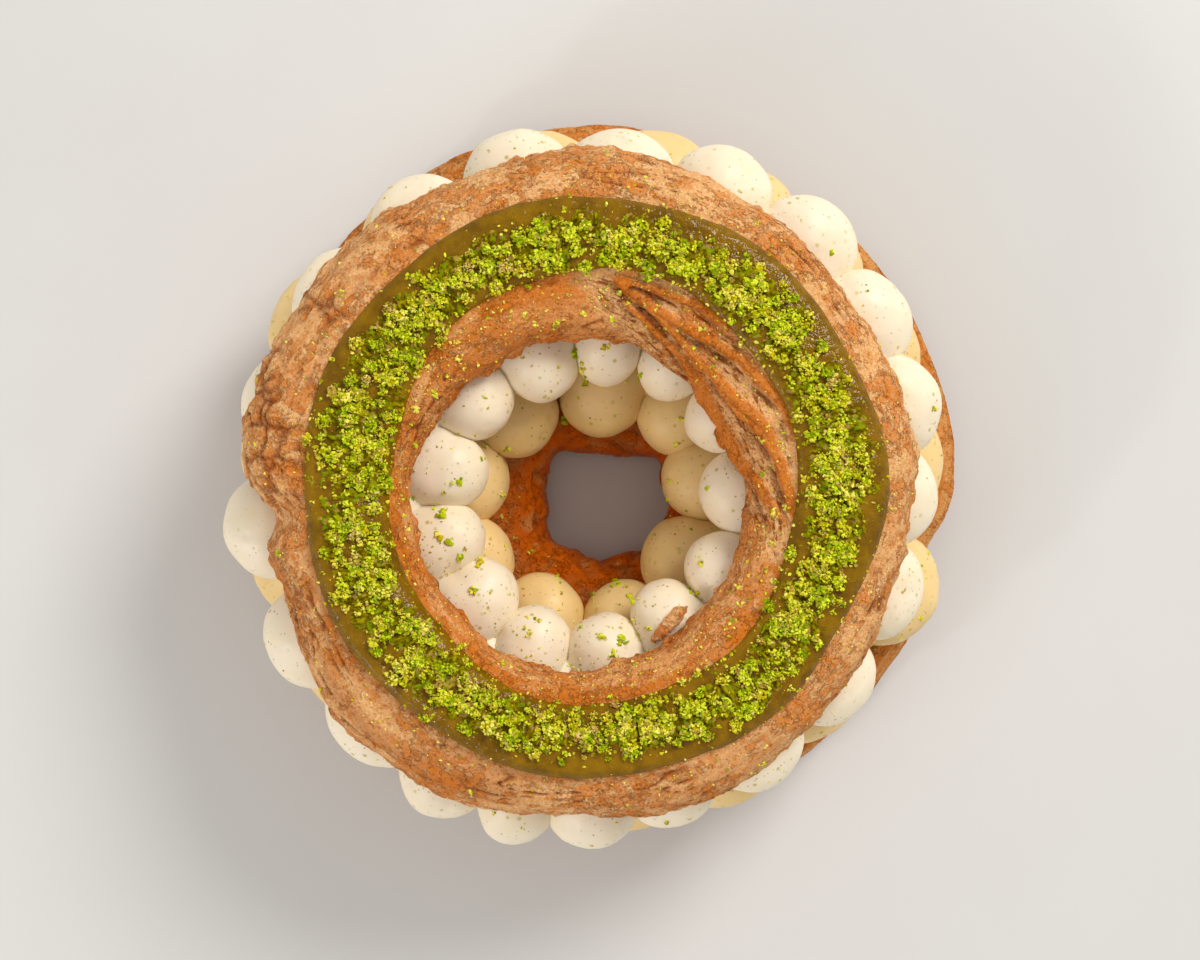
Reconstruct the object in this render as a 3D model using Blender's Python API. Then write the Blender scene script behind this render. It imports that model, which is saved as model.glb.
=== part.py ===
"""Paris-Brest pastry: a choux ring split in two and filled with two tiers of piped cream.

From the board up: the choux base, a tier of hazel cream balls, a tier of white cream balls,
the choux lid, and a band of pistachio glaze with crushed pistachio fused to it.
Lengths are in metres, +Z is up, and the origin is under the middle of the ring on the board.
Turns are angles round the ring, counterclockwise from +X.
"""

import math
import random

import bpy
from mathutils import Matrix, Vector, noise

MM = 0.001
GAP = 0.3 * MM
TAU = 2.0 * math.pi
SHARP_ANGLE = math.radians(50)

# Heights of the layers above the board
BASE_TOP = 18 * MM
TIER_HEIGHT = 21.4 * MM
LOWER_BOTTOM = BASE_TOP + GAP
UPPER_BOTTOM = LOWER_BOTTOM + TIER_HEIGHT + GAP
LID_BOTTOM = UPPER_BOTTOM + TIER_HEIGHT + GAP
LID_WIDEST = LID_BOTTOM + 4 * MM
LID_DOME = 16 * MM

# An edge is a centre and a radius, with waves as (size, count round the ring, peak in degrees)
# and hills as (size, middle in degrees, half width in degrees)

# Choux base: its outer edge, its torn hole and its bulging, ridged side
BASE_CENTRE = (2.0 * MM, 0.0)
BASE_RADIUS = 99.5 * MM
BASE_WAVES = ((2.0 * MM, 1, 130),)
BASE_HILLS = ((1.6 * MM, 4, 12), (-5.0 * MM, 61, 17), (-4.0 * MM, -12.5, 4.5))
BASE_HOLE_CENTRE = (1.5 * MM, -8.4 * MM)
BASE_HOLE_RADIUS = 16.2 * MM
BASE_HOLE_WAVES = ((1.2 * MM, 2, 0), (0.8 * MM, 7, 5))
BASE_HOLE_HILLS = ((4.8 * MM, 133, 15), (3.6 * MM, 40, 13))
BASE_WIDEST = 9 * MM
BASE_OUTER_RISE = 12.5 * MM
BASE_INNER_RISE = 16.9 * MM
BASE_OUTER_ROUNDING = 0.62
BASE_INNER_ROUNDING = 0.8
BASE_SIDE_CROWDING = 0.62
BASE_SIDE_POWER = 0.9
BASE_RIDGE_PITCH = 5.6 * MM
BASE_RIDGE_DEPTH = 1.2 * MM
BASE_RIDGE_WANDER = 1.5 * MM
BASE_RIDGE_WANDERS = 3
BASE_RIDGE_START = 0.3
BASE_RIDGE_FADE = 0.25
BASE_AROUND = 50
BASE_ACROSS = 18

# Choux lid: a dome with its own outer edge and hole, notched where a ball of cream pushes out
LID_CENTRE = (-4.8 * MM, -4.6 * MM)
LID_RADIUS = 88.8 * MM
LID_WAVES = ((2.2 * MM, 1, 120), (0.9 * MM, 5, 11), (0.6 * MM, 9, 10))
LID_HILLS = ((-5.5 * MM, -158, 14), (-7.0 * MM, -176, 4.5))
LID_HOLE_CENTRE = (-6.1 * MM, -7.3 * MM)
LID_HOLE_RADIUS = 43.8 * MM
LID_HOLE_WAVES = ((0.7 * MM, 4, -9), (0.6 * MM, 11, 8))
LID_SIDE_POWER = 0.82
LID_CROWN_POWER = 0.94
LID_AROUND = 64
LID_ACROSS = 24
LID_TOP_SHARE = 0.82
LID_TOP_SPILL = math.radians(14)

# Star-nozzle ridges that fan out from the seam in the lid and run clockwise down its inner side
FAN_CENTRE = (-26 * MM, -27 * MM)
FAN_FIRST_RADIUS = 80.5 * MM
FAN_PITCH = 6.4 * MM
FAN_DEPTH = 1.5 * MM
FAN_SEAM = math.radians(78)
FAN_SPREAD = math.radians(40)
FAN_TIGHTEST = 0.45
FAN_MIDDLE = math.radians(38)
FAN_REACH = math.radians(42)
STRIPE_PITCH = 9 * MM
STRIPE_DEPTH = 0.7 * MM
STRIPE_DRIFT = 3.0 * MM
STRIPE_DRIFTS = 2
STRIPE_DRIFT_PHASE = 0.7
STRIPES_FROM = 0.1
LUMP_SIZE = 13 * MM
LUMP_DEPTH = 1.3 * MM

# Pistachio glaze: a poured band with rounded edges, and the crushed nuts on it
GLAZE_CENTRE = (-1.8 * MM, -2.7 * MM)
GLAZE_OUTER = 75.8 * MM
GLAZE_OUTER_WAVES = ((0.6 * MM, 7, 3),)
GLAZE_OUTER_HILLS = ((1.2 * MM, 2, 16), (-1.6 * MM, -32, 14))
GLAZE_INNER = 55.0 * MM
GLAZE_INNER_WAVES = ((-1.8 * MM, 2, 0), (0.7 * MM, 6, 15))
GLAZE_THICKNESS = 1.7 * MM
GLAZE_SIDE_POWER = 0.75
GLAZE_EDGE_POWER = 0.3
GLAZE_LIFT = 0.45 * MM
GLAZE_FLOOR = 0.5 * MM
GLAZE_TOP_FROM = 0.02
GLAZE_AROUND = 76
GLAZE_ACROSS = 12
GLAZE_TRIANGLES = 3600
LEVEL_MARGIN = 1.0 * MM
LEVEL_FADE = 3.5 * MM
CRUMB_BANK_HEIGHT = 2.4 * MM
CRUMB_BANK_WIDTH = 0.26
CRUMB_BANK_LUMP = 5 * MM
CRUMB_BANK_LEVEL = 0.55
CRUMB_BANK_SWING = 0.9
CRUMB_COUNT = 90
CRUMB_RADIUS = (1.7 * MM, 3.0 * MM)
CRUMB_SPREAD = 0.33
CRUMB_DRIFT = 0.3
CRUMB_PROUD = 0.15
CRUMB_STRETCH = (0.75, 1.2)

# Cream: how far the balls bulge across the ring and up, and how much no two are alike
BALL_RISE = 11.3 * MM
BALL_AROUND = 12
BALL_ACROSS = 8
BALL_UNEVEN = 0.06
BALL_SHIFT = 0.8 * MM
CORE_AROUND = 36
CORE_ACROSS = 8
CORE_INSET = 8.5 * MM
CORE_SPARE = 1.0 * MM
CORE_POWER = 0.5
LOWER_TRIANGLES = 2300
UPPER_TRIANGLES = 2850
SLAB_SIDE = 300 * MM


class Row:
    """A row of cream balls: its ring, its ball size, and how the balls crowd along it.

    The edge is the radius that the balls reach, and the depth is half a ball across the ring,
    negative where the balls reach inwards. Plump is half a ball's width as a share of the spacing,
    widest is the most that half width can be, and proud is how much further out some balls sit.
    """

    def __init__(self, count, centre, edge, depth, plump, widest, start, clockwise, crowding, proud):
        self.count = count
        self.centre = centre
        self.edge = edge
        self.depth = depth
        self.plump = plump
        self.widest = widest
        self.start = start
        self.direction = -1.0 if clockwise else 1.0
        self.crowding = crowding
        self.proud = proud

    def turn(self, index):
        """Evenly spaced turns, pushed together and apart by slow waves (degrees, size and phase)."""
        even = self.direction * 360.0 * index / self.count
        shift = 0.0
        for order, (size, phase) in enumerate(self.crowding, start=1):
            shift += size * math.cos(math.radians(order * even - phase))
        return math.radians(self.start + even + shift)

    def half_width(self, index):
        """A ball is as wide as its neighbours leave room for, up to the widest."""
        room = abs(self.turn(index + 1) - self.turn(index - 1)) / 2.0
        return min(self.plump * room * (self.edge - self.depth), self.widest)


LOWER_OUTER = Row(count=17, centre=(-2.0 * MM, -0.9 * MM), edge=98.6 * MM, depth=14 * MM,
                  plump=0.58, widest=17 * MM, start=106.8, clockwise=True,
                  crowding=((3.1, 139), (3.9, 177), (1.6, 107)),
                  proud={1: 1.0 * MM, 6: 3.0 * MM, 15: 2.5 * MM})
LOWER_INNER = Row(count=9, centre=(-5.0 * MM, -8.4 * MM), edge=20.2 * MM, depth=-11.5 * MM,
                  plump=0.55, widest=12.5 * MM, start=127.5, clockwise=False,
                  crowding=((4.3, 173), (2.7, 62), (2.1, 26)),
                  proud={2: 2.0 * MM, 3: 1.0 * MM, 4: 3.0 * MM, 6: 2.8 * MM, 7: 4.8 * MM})
UPPER_OUTER = Row(count=20, centre=(-4.5 * MM, -2.4 * MM), edge=96.4 * MM, depth=13 * MM,
                  plump=0.60, widest=15 * MM, start=108.0, clockwise=True,
                  crowding=((7.6, 117), (3.9, -171), (1.5, -25)),
                  proud={0: 2.0 * MM, 1: 1.5 * MM, 2: 4.5 * MM, 3: 5.4 * MM, 4: 4.5 * MM,
                         5: 3.2 * MM, 11: 3.2 * MM, 12: 2.5 * MM, 13: 3.5 * MM, 14: -0.5 * MM,
                         15: 1.0 * MM, 16: 2.4 * MM})
UPPER_INNER = Row(count=13, centre=(-3.3 * MM, -6.1 * MM), edge=28.5 * MM, depth=-11 * MM,
                  plump=0.56, widest=12 * MM, start=111.7, clockwise=False,
                  crowding=((0.6, -73), (1.8, 173), (0.9, 139)),
                  proud={1: 1.5 * MM, 5: 3.0 * MM, 6: 2.2 * MM, 8: 2.2 * MM, 9: 1.8 * MM,
                         10: 3.2 * MM, 11: 4.2 * MM, 12: 2.6 * MM})


def clear_scene():
    for old in list(bpy.data.objects):
        bpy.data.objects.remove(old, do_unlink=True)


def new_collection(name):
    collection = bpy.data.collections.new(name)
    bpy.context.scene.collection.children.link(collection)
    return collection


def move_to(piece, collection):
    for old in list(piece.users_collection):
        old.objects.unlink(piece)
    collection.objects.link(piece)


def finish(name, colour, roughness):
    """A Principled material of one colour."""
    material = bpy.data.materials.new(name)
    material.use_nodes = True
    shader = material.node_tree.nodes["Principled BSDF"]
    shader.inputs["Base Color"].default_value = (*colour, 1.0)
    shader.inputs["Roughness"].default_value = roughness
    shader.inputs["Metallic"].default_value = 0.0
    return material


def dress(piece, name, material, collection):
    """Name a finished piece, shade it smooth and put it in its collection."""
    piece.name = name
    piece.data.name = name
    piece.data.materials.clear()
    piece.data.materials.append(material)
    piece.data.shade_smooth()
    piece.data.set_sharp_from_angle(angle=SHARP_ANGLE)
    move_to(piece, collection)


def edge(radius, waves, hills, turn):
    """Radius of an uneven round edge at a turn."""
    for size, count, peak in waves:
        radius += size * math.cos(count * (turn - math.radians(peak)))
    for size, middle, width in hills:
        apart = (turn - math.radians(middle) + math.pi) % TAU - math.pi
        radius += size * math.exp(-(apart / math.radians(width)) ** 2)
    return radius


def rough(x, y, z, size, seed):
    """Smooth noise from about -1 to 1 whose lumps are of the given size."""
    return noise.noise(Vector((x / size, y / size, z / size + 17.3 * seed)))


def along(centre, radius, turn):
    return (centre[0] + radius * math.cos(turn), centre[1] + radius * math.sin(turn))


def blend(start, end, share):
    return (start[0] + (end[0] - start[0]) * share, start[1] + (end[1] - start[1]) * share)


def signed_power(value, power):
    return math.copysign(abs(value) ** power, value)


def ring(around, across, place):
    """A torus whose points are moved to where place(turn, lean) puts them.

    The lean goes round the section: 0 faces out from the ring and a quarter turn faces up.
    """
    bpy.ops.mesh.primitive_torus_add(major_segments=around, minor_segments=across,
                                     major_radius=1.0, minor_radius=0.5)
    torus = bpy.context.active_object
    for vertex in torus.data.vertices:
        turn = math.atan2(vertex.co.y, vertex.co.x)
        lean = math.atan2(vertex.co.z, math.hypot(vertex.co.x, vertex.co.y) - 1.0)
        vertex.co = place(turn, lean)
    return torus


def more_points_on_top(lean, share, spill):
    """Redraw a lean so that the given share of a section's points faces up, spill past each side."""
    part = (lean % TAU) / TAU
    if part < share:
        return -spill + (math.pi + 2.0 * spill) * part / share
    return math.pi + spill + (math.pi - 2.0 * spill) * (part - share) / (1.0 - share)


def base_outer_radius(turn):
    return edge(BASE_RADIUS, BASE_WAVES, BASE_HILLS, turn)


def base_hole_radius(turn):
    return edge(BASE_HOLE_RADIUS, BASE_HOLE_WAVES, BASE_HOLE_HILLS, turn)


def base_point(turn, lean):
    """The base: flat below, a ridged bulging side, a flat cut face and a sloping hole edge."""
    outer = along(BASE_CENTRE, base_outer_radius(turn), turn)
    inner = along(BASE_HOLE_CENTRE, base_hole_radius(turn), turn)
    lean -= BASE_SIDE_CROWDING * math.sin(lean)
    outward = math.cos(lean)
    faces_out = outward > 0.0
    rise = BASE_OUTER_RISE if faces_out else BASE_INNER_RISE
    height = BASE_WIDEST + rise * signed_power(math.sin(lean), BASE_SIDE_POWER)
    height = min(max(height, 0.0), BASE_TOP)
    rounding = BASE_OUTER_ROUNDING if faces_out else BASE_INNER_ROUNDING
    x, y = blend(inner, outer, 0.5 + 0.5 * signed_power(outward, rounding))
    wander = BASE_RIDGE_WANDER * math.sin(BASE_RIDGE_WANDERS * turn)
    groove = 0.5 - 0.5 * math.cos(TAU * (height + wander) / BASE_RIDGE_PITCH)
    ridged = min(max((outward - BASE_RIDGE_START) / BASE_RIDGE_FADE, 0.0), 1.0)
    push = -BASE_RIDGE_DEPTH * groove * ridged
    return (x + push * math.cos(turn), y + push * math.sin(turn), height)


def lid_outer_radius(turn):
    return edge(LID_RADIUS, LID_WAVES, LID_HILLS, turn)


def lid_hole_radius(turn):
    return edge(LID_HOLE_RADIUS, LID_HOLE_WAVES, (), turn)


def lid_side(x, y):
    """Where a point lies on the lid: its turn, and -1 at the hole to 1 at the outer edge."""
    across = 0.0
    turn = 0.0
    for _ in range(5):
        centre = blend(LID_HOLE_CENTRE, LID_CENTRE, 0.5 + 0.5 * across)
        turn = math.atan2(y - centre[1], x - centre[0])
        reach = math.hypot(x - centre[0], y - centre[1])
        inner = lid_hole_radius(turn)
        outer = lid_outer_radius(turn)
        across = min(max(2.0 * (reach - inner) / (outer - inner) - 1.0, -1.0), 1.0)
    return turn, across


def lid_crown(x, y):
    """Height of the smooth dome above a point of the board."""
    across = lid_side(x, y)[1]
    inside = 1.0 - abs(across) ** (2.0 / LID_SIDE_POWER)
    return LID_WIDEST + LID_DOME * max(inside, 0.0) ** (0.5 * LID_CROWN_POWER)


def glaze_inner_radius(turn):
    return edge(GLAZE_INNER, GLAZE_INNER_WAVES, (), turn)


def glaze_outer_radius(turn):
    return edge(GLAZE_OUTER, GLAZE_OUTER_WAVES, GLAZE_OUTER_HILLS, turn)


def outside_glaze(x, y):
    """0 under the glaze, rising to 1 clear of its edges."""
    turn = math.atan2(y - GLAZE_CENTRE[1], x - GLAZE_CENTRE[0])
    reach = math.hypot(x - GLAZE_CENTRE[0], y - GLAZE_CENTRE[1])
    clear = max(glaze_inner_radius(turn) - reach, reach - glaze_outer_radius(turn))
    return min(max((clear - LEVEL_MARGIN) / LEVEL_FADE, 0.0), 1.0)


def fan_ridges(x, y):
    """Ridges on circles about a centre of their own, closer together near the seam."""
    turn = math.atan2(y - FAN_CENTRE[1], x - FAN_CENTRE[0])
    reach = math.hypot(x - FAN_CENTRE[0], y - FAN_CENTRE[1])
    away = min(max((FAN_SEAM - turn) / FAN_SPREAD, FAN_TIGHTEST), 1.0)
    crest = math.cos(TAU * (reach - FAN_FIRST_RADIUS) / (FAN_PITCH * away))
    strength = math.exp(-((turn - FAN_MIDDLE) / FAN_REACH) ** 4)
    return FAN_DEPTH * strength * (0.5 * crest - 0.5)


def lid_relief(x, y, z):
    """Ridges, stripes and lumps of the crust, which the glaze levels where it lies."""
    turn, across = lid_side(x, y)
    lumps = LUMP_DEPTH * rough(x, y, z, LUMP_SIZE, seed=1)
    if across < STRIPES_FROM:
        ridges = fan_ridges(x, y)
    else:
        drift = STRIPE_DRIFT * math.sin(STRIPE_DRIFTS * turn + STRIPE_DRIFT_PHASE)
        reach = across * 0.5 * (LID_RADIUS - LID_HOLE_RADIUS) + drift
        ridges = STRIPE_DEPTH * math.cos(TAU * reach / STRIPE_PITCH)
    return (lumps + ridges) * outside_glaze(x, y)


def lid_point(turn, lean):
    """The lid: a flat cut face below and a domed, ridged crust above."""
    outer = along(LID_CENTRE, lid_outer_radius(turn), turn)
    inner = along(LID_HOLE_CENTRE, lid_hole_radius(turn), turn)
    lean = more_points_on_top(lean, LID_TOP_SHARE, LID_TOP_SPILL)
    outward = math.cos(lean)
    upright = math.sin(lean)
    x, y = blend(inner, outer, 0.5 + 0.5 * signed_power(outward, LID_SIDE_POWER))
    height = LID_WIDEST + LID_DOME * signed_power(upright, LID_CROWN_POWER)
    if height <= LID_BOTTOM:
        return (x, y, LID_BOTTOM)
    push = lid_relief(x, y, height)
    x += push * outward * math.cos(turn)
    y += push * outward * math.sin(turn)
    return (x, y, max(height + push * max(upright, 0.0), LID_BOTTOM))


def on_glaze(turn, share):
    """A place on the band, from its inner edge (0) to its outer edge (1)."""
    radius = glaze_inner_radius(turn) * (1.0 - share) + glaze_outer_radius(turn) * share
    return along(GLAZE_CENTRE, radius, turn)


def glaze_underside(x, y):
    return lid_crown(x, y) + GLAZE_LIFT


def glaze_thickness(x, y, share):
    """Rounded at both edges, with a bank of fine crumbs along the middle."""
    swell = GLAZE_THICKNESS * (4.0 * share * (1.0 - share)) ** GLAZE_EDGE_POWER
    middle = math.exp(-((share - 0.5) / CRUMB_BANK_WIDTH) ** 4)
    lump = CRUMB_BANK_LEVEL + CRUMB_BANK_SWING * rough(x, y, 0.0, CRUMB_BANK_LUMP, seed=2)
    bank = CRUMB_BANK_HEIGHT * middle * lump
    return swell + max(bank, 0.0)


def glaze_point(turn, lean):
    """The glaze: it follows the dome below and carries the crumb bank above."""
    share = 0.5 + 0.5 * signed_power(math.cos(lean), GLAZE_SIDE_POWER)
    x, y = on_glaze(turn, share)
    height = glaze_underside(x, y)
    if math.sin(lean) > GLAZE_TOP_FROM:
        height += glaze_thickness(x, y, share)
    return (x, y, height)


def union(core, pieces, solver="EXACT"):
    """Join loose pieces to a core with one Boolean, and remove them."""
    helpers = new_collection("pieces_to_join")
    for piece in pieces:
        move_to(piece, helpers)
    join = core.modifiers.new("join", "BOOLEAN")
    join.operation = "UNION"
    join.operand_type = "COLLECTION"
    join.collection = helpers
    join.solver = solver
    apply_modifier(core, join)
    for piece in pieces:
        bpy.data.objects.remove(piece, do_unlink=True)
    bpy.data.collections.remove(helpers)


def apply_modifier(piece, modifier):
    bpy.ops.object.select_all(action="DESELECT")
    piece.select_set(True)
    bpy.context.view_layer.objects.active = piece
    bpy.ops.object.modifier_apply(modifier=modifier.name)


def thin_out(piece, most_triangles):
    """Collapse the smallest triangles that the cuts leave, down to the given count."""
    thin = piece.modifiers.new("thin", "DECIMATE")
    thin.ratio = min(1.0, most_triangles / len(piece.data.loop_triangles))
    apply_modifier(piece, thin)


def slab(bottom, top):
    """A flat block that spans the ring between two heights."""
    bpy.ops.mesh.primitive_cube_add(size=1.0, location=(0.0, 0.0, 0.5 * (bottom + top)))
    block = bpy.context.active_object
    block.data.transform(Matrix.Diagonal((SLAB_SIDE, SLAB_SIDE, top - bottom, 1.0)))
    return block


def cream_ball(row, index, height, draw):
    """One piped ball, a squashed sphere that points along the ring's radius."""
    turn = row.turn(index)
    uneven = 1.0 + BALL_UNEVEN * draw.uniform(-1.0, 1.0)
    shift = BALL_SHIFT * draw.uniform(-1.0, 1.0) + row.proud.get(index, 0.0)
    reach = row.edge - row.depth + shift
    x, y = along(row.centre, reach, turn)
    bpy.ops.mesh.primitive_uv_sphere_add(segments=BALL_AROUND, ring_count=BALL_ACROSS, radius=1.0)
    ball = bpy.context.active_object
    size = Matrix.Diagonal((abs(row.depth), row.half_width(index) * uneven, BALL_RISE, 1.0))
    spin = Matrix.Rotation(turn, 4, "Z")
    ball.data.transform(Matrix.Translation((x, y, height)) @ spin @ size)
    return ball


def core_point(outer_row, inner_row, middle, half_height):
    """The cream between the rows, a rounded ring."""
    def place(turn, lean):
        outer = along(outer_row.centre, outer_row.edge - CORE_INSET, turn)
        inner = along(inner_row.centre, inner_row.edge + CORE_INSET, turn)
        x, y = blend(inner, outer, 0.5 + 0.5 * signed_power(math.cos(lean), CORE_POWER))
        return (x, y, middle + half_height * signed_power(math.sin(lean), CORE_POWER))
    return place


def cream_tier(outer_row, inner_row, bottom, most_triangles, seed):
    """Two rows of balls round a core, cut level where the tier meets its neighbours."""
    draw = random.Random(seed)
    middle = bottom + 0.5 * TIER_HEIGHT
    place = core_point(outer_row, inner_row, middle, 0.5 * TIER_HEIGHT + CORE_SPARE)
    core = ring(CORE_AROUND, CORE_ACROSS, place)
    balls = []
    for row in (outer_row, inner_row):
        for index in range(row.count):
            balls.append(cream_ball(row, index, middle, draw))
    union(core, balls)
    block = slab(bottom, bottom + TIER_HEIGHT)
    trim = core.modifiers.new("trim", "BOOLEAN")
    trim.operation = "INTERSECT"
    trim.object = block
    apply_modifier(core, trim)
    bpy.data.objects.remove(block, do_unlink=True)
    thin_out(core, most_triangles)
    for vertex in core.data.vertices:
        vertex.co.z = min(max(vertex.co.z, bottom), bottom + TIER_HEIGHT)
    return core


def crumb(index, draw):
    """One broken piece of pistachio, sunk by half into the glaze but not through it."""
    turn = TAU * (index + CRUMB_DRIFT * draw.uniform(-1.0, 1.0)) / CRUMB_COUNT
    share = 0.5 + CRUMB_SPREAD * draw.uniform(-1.0, 1.0)
    x, y = on_glaze(turn, share)
    size = draw.uniform(*CRUMB_RADIUS)
    height = glaze_underside(x, y) + glaze_thickness(x, y, share) + CRUMB_PROUD * size
    bpy.ops.mesh.primitive_ico_sphere_add(subdivisions=1, radius=size)
    piece = bpy.context.active_object
    spin = Matrix.Rotation(draw.uniform(0.0, TAU), 4, "Z")
    piece.data.transform(Matrix.Translation((x, y, height)) @ spin)
    for vertex in piece.data.vertices:
        away = vertex.co - Vector((x, y, height))
        vertex.co = Vector((x, y, height)) + away * draw.uniform(*CRUMB_STRETCH)
        vertex.co.z = max(vertex.co.z, glaze_underside(vertex.co.x, vertex.co.y) + GLAZE_FLOOR)
    return piece


def choux_base():
    return ring(BASE_AROUND, BASE_ACROSS, base_point)


def choux_lid():
    return ring(LID_AROUND, LID_ACROSS, lid_point)


def pistachio_glaze():
    draw = random.Random(31)
    band = ring(GLAZE_AROUND, GLAZE_ACROSS, glaze_point)
    union(band, [crumb(index, draw) for index in range(CRUMB_COUNT)])
    thin_out(band, GLAZE_TRIANGLES)
    return band


def main():
    clear_scene()
    pastry = new_collection("paris_brest")
    crust = finish("baked_choux", (0.52, 0.23, 0.08), 0.6)
    lower = finish("hazel_cream", (0.75, 0.58, 0.35), 0.45)
    upper = finish("white_cream", (0.90, 0.86, 0.72), 0.45)
    green = finish("pistachio", (0.25, 0.30, 0.02), 0.4)
    dress(choux_base(), "choux_base", crust, pastry)
    lower_tier = cream_tier(LOWER_OUTER, LOWER_INNER, LOWER_BOTTOM, LOWER_TRIANGLES, seed=11)
    dress(lower_tier, "cream_lower", lower, pastry)
    upper_tier = cream_tier(UPPER_OUTER, UPPER_INNER, UPPER_BOTTOM, UPPER_TRIANGLES, seed=12)
    dress(upper_tier, "cream_upper", upper, pastry)
    dress(choux_lid(), "choux_lid", crust, pastry)
    dress(pistachio_glaze(), "pistachio_glaze", green, pastry)


main()
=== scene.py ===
"""Paris-Brest pastry: baked choux, two tiers of piped cream, pistachio glaze and crushed nuts.

Lengths are in metres. A turn is an angle round the ring, counterclockwise from +X, and a lean is
an angle round the ring's section: 0 faces out from the ring and a quarter turn faces up.
"""

import math
import random
from dataclasses import dataclass

import bpy
import numpy as np
from mathutils import Matrix, Vector, noise
from mathutils.bvhtree import BVHTree


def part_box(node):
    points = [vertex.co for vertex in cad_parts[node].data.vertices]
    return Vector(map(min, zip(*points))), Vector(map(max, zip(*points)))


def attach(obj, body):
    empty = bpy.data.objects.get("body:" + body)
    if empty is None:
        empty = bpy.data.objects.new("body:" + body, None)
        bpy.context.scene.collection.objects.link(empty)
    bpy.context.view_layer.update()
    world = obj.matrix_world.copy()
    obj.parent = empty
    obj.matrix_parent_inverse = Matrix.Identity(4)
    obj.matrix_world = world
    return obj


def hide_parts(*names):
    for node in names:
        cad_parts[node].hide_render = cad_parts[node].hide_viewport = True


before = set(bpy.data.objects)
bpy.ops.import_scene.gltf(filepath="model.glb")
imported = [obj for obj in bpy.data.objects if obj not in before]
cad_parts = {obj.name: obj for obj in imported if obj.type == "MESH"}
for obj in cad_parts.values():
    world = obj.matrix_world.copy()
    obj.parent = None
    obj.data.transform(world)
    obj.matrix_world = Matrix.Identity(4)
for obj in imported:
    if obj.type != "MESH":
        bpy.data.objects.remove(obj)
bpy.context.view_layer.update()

MM = 0.001
TAU = 2.0 * math.pi
FLOW_RADIUS = 66 * MM

# Heights of the layers, read from the solids
BASE_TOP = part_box("choux_base")[1][2]
LOWER_SPAN = (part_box("cream_lower")[0][2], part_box("cream_lower")[1][2])
UPPER_SPAN = (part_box("cream_upper")[0][2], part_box("cream_upper")[1][2])
LID_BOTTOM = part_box("choux_lid")[0][2]
LID_WIDEST = LID_BOTTOM + 4 * MM
LID_DOME = 16 * MM

# An edge is a centre and a radius, with waves as (size, count round the ring, peak in degrees)
# and hills as (size, middle in degrees, half width in degrees)
BASE_CENTRE = (2.0 * MM, 0.0)
BASE_EDGE = (99.5 * MM, ((2.0 * MM, 1, 130),),
             ((1.6 * MM, 4, 12), (-5.0 * MM, 61, 17), (-4.0 * MM, -12.5, 4.5)))
BASE_HOLE_CENTRE = (1.5 * MM, -8.4 * MM)
BASE_HOLE = (16.2 * MM, ((1.2 * MM, 2, 0), (0.8 * MM, 7, 5)), ((4.8 * MM, 133, 15), (3.6 * MM, 40, 13)))
BASE_WIDEST = 9 * MM
BASE_OUTER_RISE = 12.5 * MM
BASE_INNER_RISE = 16.9 * MM
BASE_OUTER_ROUNDING = 0.62
BASE_INNER_ROUNDING = 0.8
BASE_SECTION_RADIUS = 14 * MM
BASE_RIDGE_PITCH = 2.8 * MM

LID_CENTRE = (-4.8 * MM, -4.6 * MM)
LID_EDGE = (88.8 * MM, ((2.2 * MM, 1, 120), (0.9 * MM, 5, 11), (0.6 * MM, 9, 10)),
            ((-5.5 * MM, -158, 14), (-7.0 * MM, -176, 4.5)))
LID_HOLE_CENTRE = (-6.1 * MM, -7.3 * MM)
LID_HOLE = (43.8 * MM, ((0.7 * MM, 4, -9), (0.6 * MM, 11, 8)), ())
LID_SIDE_POWER = 0.82
LID_CROWN_POWER = 0.94
LID_TOP_SHARE = 0.82
LID_TOP_SPILL = math.radians(14)
LID_SECTION_RADIUS = 20 * MM

GLAZE_CENTRE = (-1.8 * MM, -2.7 * MM)
GLAZE_OUTER = (75.8 * MM, ((0.6 * MM, 7, 3),), ((1.2 * MM, 2, 16), (-1.6 * MM, -32, 14)))
GLAZE_INNER = (55.0 * MM, ((-1.8 * MM, 2, 0), (0.7 * MM, 6, 15)), ())
GLAZE_THICKNESS = 1.7 * MM
GLAZE_FOOT = 0.4 * MM
GLAZE_EDGE = 0.85 * MM
CRUMB_GROUND = 0.45 * MM

# Ridges that fan out from the lid's seam, each through a few places in the photograph (pixels)
FAN_RIDGES = (
    ((602, 279), (643, 285), (694, 306), (742, 333), (768, 362), (792, 400), (805, 450)),
    ((606, 281), (630, 289), (665, 317), (702, 337), (736, 358), (768, 390), (794, 424), (804, 468)),
    ((612, 286), (640, 303), (670, 328), (697, 362), (717, 381), (746, 407), (768, 433), (790, 475)),
    ((616, 296), (640, 320), (680, 355), (699, 383), (717, 417), (735, 452), (763, 490), (780, 540)),
    ((712, 378), (728, 398), (752, 424), (775, 456), (788, 492), (794, 530)),
)
FAN_HEIGHT = 75 * MM
FAN_RISE = 2.6 * MM
FAN_CENTRE = (-26 * MM, -27 * MM)
FAN_MIDDLE_REACH = 82 * MM

# Larger bits of pistachio on the inner balls, as places in the photograph (pixels)
BIG_BITS = ((606, 349), (640, 376), (562, 417), (585, 382), (574, 352), (459, 482), (444, 515), (439, 536),
            (460, 556), (474, 590), (480, 560), (450, 544), (528, 630), (600, 636), (612, 654), (620, 640),
            (630, 599), (618, 590), (690, 589), (700, 564))
BIG_BITS_HEIGHT = 58 * MM

# The camera looks straight down from above the middle of the photograph
CAMERA_PLACE = (0.0, -0.9 * MM, 800 * MM)
CAMERA_LENS = 82.7
PHOTO_FOCAL = 2758.0
PHOTO_MIDDLE = (600.0, 480.0)


def read_points(piece):
    points = np.empty(len(piece.data.vertices) * 3)
    piece.data.vertices.foreach_get("co", points)
    return points.reshape(-1, 3)


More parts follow.
